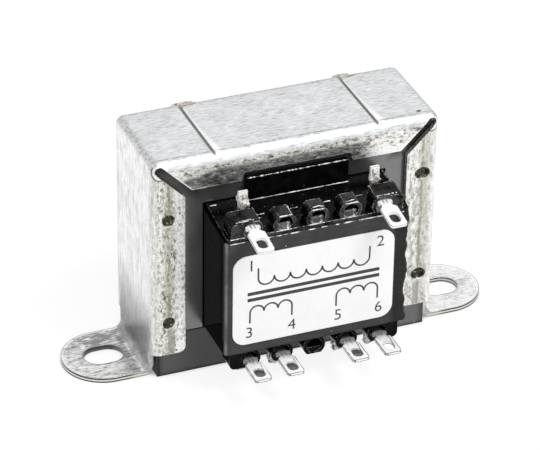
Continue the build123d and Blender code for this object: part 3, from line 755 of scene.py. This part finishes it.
# varnish beads on the moulding's edges, painted near white as glints
former = {
    "deckFront": (-15.65, 26.45), "deckBack": (-7.15, 27.8), "halfWidth": 13.55,
    "wallFront": -8.2, "wallTop": 31.3, "wallHalf": 7.75, "sockets": (-10, -5, 0, 5, 10),
    "rib": -11.5, "rear": -7.9,
    "thickness": 0.095, "least": 0.25, "wander": 0.07, "grain": 900.0,
    "filmTop": (-15.93, 25.87), "crownFront": (-16.03, 29.01), "crownHalf": 0.95,
    "crownRuns": [[(-0.7, -15.5, 29.11), (0.2, -15.3, 29.14), (0.9, -15.6, 29.09)],
                  [(4.2, -15.6, 29.09), (5.7, -15.4, 29.12)]],
    "blockTop": 29.05, "blockFront": -15.64, "blockBack": -12.68,
    "dotThickness": 0.10, "dotLeast": 0.06, "dotWander": 0.05, "dotGrain": 3600.0,
}


def onDeck(x, y):  # a point on the sloping deck
    (y0, z0), (y1, z1) = former["deckFront"], former["deckBack"]
    return (x, y, z0 + (y - y0) * (z1 - z0) / (y1 - y0))


def edgeLines():
    y0, z0 = former["deckFront"]
    side, wall = former["halfWidth"], former["wallHalf"]
    lines = [[(-side + 0.4, *former["filmTop"]), (side - 0.4, *former["filmTop"])]]  # top edge of the film
    lines.append([onDeck(-wall, former["wallFront"]), onDeck(wall, former["wallFront"])])
    for x in former["sockets"][:-1]:
        lines.append([onDeck(x + 1.9, former["rib"]), onDeck(x + 3.6, former["rib"])])
    lines.append([onDeck(-side + 0.3, former["rear"]), onDeck(-side + 1.3, former["rear"])])
    crown, half = former["crownFront"], former["crownHalf"]
    for x in former["sockets"][1:-1]:  # the open sockets' tops, and the deck below them
        lines.append([(x - half, *crown), (x + half, *crown)])
        lines.append([(x - 1.2, y0, z0), (x + 1.1, y0, z0)])
    lines.append([(-side + 0.5, y0, z0), (-side + 2.6, y0, z0)])
    lines += former["crownRuns"]
    lines.append([(half - 5, *crown), (half - 5, -14.2, 29.31)])
    front, top = former["blockFront"], former["blockTop"]
    lines.append([(-12.0, front + 0.2, top + 0.03), (-9.9, front + 0.25, top + 0.03)])
    lines.append([(-12.3, front, top), (-9.7, front, top)])  # left end block, with a bubbled end
    lines.append([(-9.7, front, top), (-9.3, front + 0.6, top),
                  (-9.0, front + 0.1, top - 0.05), (-8.6, front + 0.5, top - 0.15)])
    return lines


def dottedLines():
    wall, front, top = former["wallHalf"], former["wallFront"] + 0.06, former["wallTop"] - 0.06
    lines = [[(-wall, front, top), (wall, front, top)]]  # top edge of the barrier wall
    front, back, top = former["blockFront"], former["blockBack"], former["blockTop"]
    lines.append([(8.9, front, top), (12.1, front, top)])
    for side in (-1, 1):
        lines.append([(side * 8.9, back, top), (side * 12.1, back, top)])
    return lines


edgeVarnish = grow("edgeVarnish", lineBase("edgeLines", edgeLines()), varnishBead, {
    "Thickness": former["thickness"] * mm, "Least": former["least"], "Wander": former["wander"] * mm,
    "Grain": former["grain"], "Finish": glintVarnish,
})
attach(edgeVarnish, "root")
dotVarnish = grow("dotVarnish", lineBase("dottedLines", dottedLines()), varnishBead, {
    "Thickness": former["dotThickness"] * mm, "Least": former["dotLeast"],
    "Wander": former["dotWander"] * mm, "Grain": former["dotGrain"], "Finish": glintVarnish,
})
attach(dotVarnish, "root")
print("edge varnish grown")

# amber varnish left at the rear ends of the two score lines
drops = {
    "points": [(-12.5, 7.60, 35.62), (-11.4, 7.66, 35.64), (-10.6, 7.55, 35.60),
               (12.5, 7.60, 35.62), (13.5, 7.62, 35.62)],
    "size": (0.90, 0.62, 0.25), "swell": 0.16, "grain": 1500.0,
}
scoreVarnish = grow("scoreVarnish", pointBase("dropPoints", drops["points"]), roughLump, {
    "Size": metres(drops["size"]), "Swell": drops["swell"] * mm, "Grain": drops["grain"],
    "Roundness": 1.0, "Finish": amberVarnish,
})
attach(scoreVarnish, "root")

# dark varnish skins in the eyes of three lower tags: painted shade standing in for the shadow seen through
# them
skins = {
    "points": [(x, -19.6, 5.85) for x in (-10, -5, 5)],
    "size": (0.80, 1.14, 0.12), "swell": 0.05, "grain": 900.0,
}
eyeShadeSkin = grow("eyeShadeSkin", pointBase("eyePoints", skins["points"]), roughLump, {
    "Size": metres(skins["size"]), "Swell": skins["swell"] * mm, "Grain": skins["grain"],
    "Roundness": 1.0, "Finish": eyeShadeVarnish,
})
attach(eyeShadeSkin, "root")
print("varnish drops grown")

# solder on the six stubs
solder = {
    "stubY": -12.25, "swell": 1.15, "grain": 2100.0, "roundness": 0.45,
    "solderLeft": {
        "at": [-10], "z": 30.38, "size": (0.84, 0.60, 1.26), "taper": 0.22, "turn": 0.0,
        "nodes": ["primary_solder_left"],
    },
    "solderRight": {
        "at": [10], "z": 30.42, "size": (0.92, 0.58, 1.26), "taper": 0.40, "turn": 0.0,
        "nodes": ["primary_solder_right"],
    },
    "solderLower": {
        "at": [-10, -5, 5, 10], "z": 3.5, "size": (0.92, 0.66, 1.36), "taper": 0.24, "turn": math.pi,
        "nodes": ["secondary_solder_1", "secondary_solder_2", "secondary_solder_3", "secondary_solder_4"],
    },
}
for name in ("solderLeft", "solderRight", "solderLower"):
    look = solder[name]
    spots = [(x, solder["stubY"], look["z"]) for x in look["at"]]
    lump = grow(name, pointBase(name + "Points", spots), roughLump, {
        "Size": metres(look["size"]), "Rotation": (look["turn"], 0.0, 0.0),
        "Roundness": solder["roundness"], "Taper": look["taper"],
        "Swell": solder["swell"] * mm, "Grain": solder["grain"], "Finish": solderLump,
    })
    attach(lump, "root")
    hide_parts(*look["nodes"])
print("solder grown")

# film round the coil: flat under the label, slack at the right-hand corner
wrap = {
    "halfWidth": 13.9, "halfDepth": 16.0, "corner": 0.8, "thick": 0.3,
    "low": 7.4, "frontTop": 25.89, "coreTop": 27.3,
    "core": 7.15, "seam": 11.3, "step": 0.1, "slack": 0.60, "bulge": 0.40, "rows": 64,
    "ripple": 0.05, "looseX": (13.0, 0.8), "looseY": (9.0, 2.0), "spacing": 0.45, "seamHalf": 0.015,
}


def ringPoints(look, inset):
    hx, hy, r = look["halfWidth"] - inset, look["halfDepth"] - inset, look["corner"] - inset
    points = []
    for cx, cy, turn in (
        (hx - r, -hy + r, -90), (hx - r, hy - r, 0), (-hx + r, hy - r, 90), (-hx + r, -hy + r, 180),
    ):
        for step in range(9):
            a = math.radians(turn + step * 11.25)
            points.append(Vector((cx + r * math.cos(a), cy + r * math.sin(a), 0)))
    points.append(Vector((look["seam"] - look["seamHalf"], -hy, 0)))  # both sides of the film's end
    points.append(Vector((look["seam"] + look["seamHalf"], -hy, 0)))
    ring = []
    for i, here in enumerate(points):
        there = points[(i + 1) % len(points)]
        count = max(1, round((there - here).length / look["spacing"]))
        ring += [here.lerp(there, k / count) for k in range(count)]
    return ring


def ramped(value, low, width):
    return max(0.0, min(1.0, (value - low) / width))


def wrapTop(look, y):
    away = max(0.0, abs(y) - look["core"]) / (look["halfDepth"] - look["core"])
    return look["coreTop"] + (look["frontTop"] - look["coreTop"]) * away


def wrapMesh(look):
    shape = bmesh.new()
    outer, inner = ringPoints(look, 0.0), ringPoints(look, look["thick"])
    count = len(outer)
    grid = []
    for row in range(look["rows"] + 1):
        level = row / look["rows"]
        line = []
        for at in outer:
            z = look["low"] + (wrapTop(look, at.y) - look["low"]) * level
            z += look["ripple"] * noise.noise(Vector((at.x * 0.7, at.y * 0.7, 3.0))) * level
            push = Vector((0, 0, 0))
            right = ramped(at.x, *look["looseX"]) * ramped(-at.y, *look["looseY"])
            wave = (noise.noise(Vector((z * 0.42, at.y * 0.2, 1.7)))
                    + 0.45 * noise.noise(Vector((z * 1.3, at.y * 0.4, 8.2))))
            push.x = right * (look["slack"] * wave + look["bulge"] * (1.0 - level))
            if at.y < -look["halfDepth"] + 0.02 and at.x > look["seam"]:
                push.y = look["step"]
            line.append(shape.verts.new((at + push + Vector((0, 0, z))) * mm))
        grid.append(line)
    for row in range(look["rows"]):
        for i in range(count):
            j = (i + 1) % count
            shape.faces.new((grid[row][i], grid[row][j], grid[row + 1][j], grid[row + 1][i]))
    lowRing = [shape.verts.new(Vector((p.x, p.y, look["low"])) * mm) for p in inner]
    highRing = [shape.verts.new(Vector((p.x, p.y, wrapTop(look, p.y))) * mm) for p in inner]
    steps = len(inner)

    def nearest(i):
        return round(i * steps / count) % steps

    for i in range(count):
        j = (i + 1) % count
        for edge, ring, flip in ((grid[0], lowRing, True), (grid[-1], highRing, False)):
            quad = [edge[i], edge[j], ring[nearest(j)], ring[nearest(i)]]
            quad = list(dict.fromkeys(quad))
            shape.faces.new(quad[::-1] if flip else quad)
    for i in range(steps):
        j = (i + 1) % steps
        shape.faces.new((lowRing[j], lowRing[i], highRing[i], highRing[j]))
    for face in shape.faces:
        face.smooth = True
    bmesh.ops.recalc_face_normals(shape, faces=shape.faces)
    mesh = bpy.data.meshes.new("coilFilm")
    shape.to_mesh(mesh)
    shape.free()
    return mesh


coilFilm = addPiece("coilFilm", wrapMesh(wrap), wrapFilm)
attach(coilFilm, "root")
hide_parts("coil_wrap")
print("wrap made")

# label print: terminal numbers and a plain winding diagram
printing = {
    "plane": -16.125, "digit": 1.75, "line": 0.26, "core": 0.55,
    "digits": {
        "1": (-10.7, 21.0), "2": (9.0, 21.0), "3": (-10.9, 9.9),
        "4": (-4.4, 9.9), "5": (2.7, 9.9), "6": (9.0, 9.9),
    },
    "primary": (-9.0, 8.0, 19.6, 7), "secondaries": [(-10.2, -3.8, 14.0, 3), (3.0, 9.4, 14.0, 3)],
    "bars": (17.2, 16.2), "barEnds": (-10.6, 9.6), "leg": 1.7,
}


def ribbon(shape, points, width):
    left, right = [], []
    for i, at in enumerate(points):
        before, after = points[max(i - 1, 0)], points[min(i + 1, len(points) - 1)]
        along = (Vector(after) - Vector(before)).normalized()
        side = Vector((-along.y, along.x)) * width / 2
        left.append(shape.verts.new((at[0] + side.x, printing["plane"], at[1] + side.y)))
        right.append(shape.verts.new((at[0] - side.x, printing["plane"], at[1] - side.y)))
    for i in range(len(points) - 1):
        shape.faces.new((left[i], right[i], right[i + 1], left[i + 1]))


def coilLine(x0, x1, z, humps, up):
    radius = (x1 - x0) / humps / 2
    points = [(x0, z + up * printing["leg"])]
    for k in range(humps):
        for step in range(13):
            a = math.pi * (1 - step / 12)
            points.append((x0 + (2 * k + 1) * radius + radius * math.cos(a), z - up * radius * math.sin(a)))
    return points + [(x1, z + up * printing["leg"])]


def printMesh(look):
    shape = bmesh.new()
    x0, x1, z, humps = look["primary"]
    ribbon(shape, coilLine(x0, x1, z, humps, 1), look["line"])
    for bar in look["bars"]:
        ribbon(shape, [(end, bar) for end in look["barEnds"]], look["core"])
    for x0, x1, z, humps in look["secondaries"]:
        ribbon(shape, coilLine(x0, x1, z, humps, -1), look["line"])
    for digit, (x, z) in look["digits"].items():
        text = bpy.data.curves.new("digit" + digit, "FONT")
        text.body = digit
        holder = linked("digit" + digit, text)
        bpy.context.view_layer.update()
        flat = bpy.data.meshes.new_from_object(holder.evaluated_get(bpy.context.evaluated_depsgraph_get()))
        low, high = min(v.co.y for v in flat.vertices), max(v.co.y for v in flat.vertices)
        size = look["digit"] / (high - low)
        for vert in flat.vertices:
            vert.co = (x + vert.co.x * size, look["plane"], z + (vert.co.y - low) * size)
        shape.from_mesh(flat)
        bpy.data.objects.remove(holder)
        bpy.data.meshes.remove(flat)
    for vert in shape.verts:
        vert.co *= mm
    for face in shape.faces:
        face.normal_update()
        if face.normal.y > 0:
            face.normal_flip()
    mesh = bpy.data.meshes.new("labelPrint")
    shape.to_mesh(mesh)
    shape.free()
    return mesh


labelPrint = addPiece("labelPrint", printMesh(printing), labelInk)
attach(labelPrint, "root")
print("label printed")

# white table and soft light
stage = {"floorHalf": 4.0, "ambient": 0.5, "floorShade": 0.20, "floorGlow": 0.87, "contact": 1.6}


def seenMask(start):
    kinds = ("Is Camera Ray", "Is Glossy Ray", "Is Transmission Ray")
    camera, glossy, through = [start.make("ShaderNodeLightPath", out=kind) for kind in kinds]
    return camera.most(glossy).most(through)


def floorFinish(look):
    finish, start, place = newFinish("whiteTable")
    tone = cloud(place, 0.01, 2.0, 0.5).rise(0.3, 0.7).between(grey(0.83), grey(0.85))
    plain = start.make("ShaderNodeBsdfDiffuse", (), {"Color": tone})
    shade = start.make("ShaderNodeBsdfDiffuse", (), {"Color": grey(look["floorShade"])})
    # painted contact shadow: the table's glow dims where the object stands close above it
    openness = openAir(start, look["contact"])
    lit = openness.rise(0.12, 0.75).between(grey(0.30), grey(1.0))
    glow = start.make("ShaderNodeEmission", (), {"Color": lit, "Strength": look["floorGlow"]})
    shown = start.make("ShaderNodeAddShader", (), {0: shade, 1: glow})
    both = start.make("ShaderNodeMixShader", (), {0: seenMask(start), 1: plain, 2: shown})
    start.make("ShaderNodeOutputMaterial", (), {"Surface": both})
    return finish


def floorMesh(half):
    mesh = bpy.data.meshes.new("table")
    mesh.from_pydata([(-half, -half, 0), (half, -half, 0), (half, half, 0), (-half, half, 0)],
                     [], [(0, 1, 2, 3)])
    return mesh


table = addPiece("table", floorMesh(stage["floorHalf"]), floorFinish(stage))

world = bpy.data.worlds.new("studio")
bpy.context.scene.world = world
world.use_nodes = True
world.node_tree.nodes.clear()
sky = Wire(world.node_tree)
dim = sky.make("ShaderNodeBackground", (), {"Color": grey(1.0), "Strength": stage["ambient"]})
white = sky.make("ShaderNodeBackground", (), {"Color": grey(1.0), "Strength": 1.0})
sky.make("ShaderNodeOutputWorld", (), {
    "Surface": sky.make("ShaderNodeMixShader", (), {0: seenMask(sky), 1: dim, 2: white}),
})

lamps = {
    "keyLamp": {"toward": (0.34, -0.42, 0.84), "away": 0.62, "size": 0.24, "watts": 2.05},
    "leftLamp": {"toward": (-0.80, -0.20, 0.55), "away": 0.9, "size": 0.80, "watts": 0.6},
    "frontLamp": {"toward": (-0.10, -0.90, 0.42), "away": 0.9, "size": 0.70, "watts": 1.3},
}
middle = Vector((0, 0, 0.016))
for name, lamp in lamps.items():
    data = bpy.data.lights.new(name, "AREA")
    data.shape = "SQUARE"
    data.size = lamp["size"]
    data.energy = lamp["watts"]
    holder = linked(name, data)
    toward = Vector(lamp["toward"]).normalized()
    holder.matrix_world = (Matrix.Translation(middle + toward * lamp["away"])
                           @ toward.to_track_quat("Z", "Y").to_matrix().to_4x4())
print("stage lit")

shot = {
    "turn": -22.0, "height": 31.39, "roll": 0.0161, "away": 0.44996,
    "aim": (-0.000853, 0.0, 0.017442), "lens": 205.64, "sensor": 36.0, "near": 0.01,
}


def setCamera(look):
    turn, height = math.radians(look["turn"]), math.radians(look["height"])
    back = Vector((math.sin(turn) * math.cos(height), -math.cos(turn) * math.cos(height), math.sin(height)))
    right = Vector((math.cos(turn), math.sin(turn), 0))
    up = back.cross(right)
    side = right * math.cos(look["roll"]) + up * math.sin(look["roll"])
    high = up * math.cos(look["roll"]) - right * math.sin(look["roll"])
    data = bpy.data.cameras.new("shot")
    data.sensor_width = look["sensor"]
    data.lens = look["lens"]
    data.clip_start = look["near"]
    holder = linked("shot", data)
    spot = Vector(look["aim"]) + back * look["away"]
    holder.matrix_world = Matrix((
        (side.x, high.x, back.x, spot.x), (side.y, high.y, back.y, spot.y),
        (side.z, high.z, back.z, spot.z), (0, 0, 0, 1),
    ))
    bpy.context.scene.camera = holder


setCamera(shot)
bpy.context.scene.view_settings.view_transform = "Standard"
print("camera set")

bpy.context.view_layer.update()
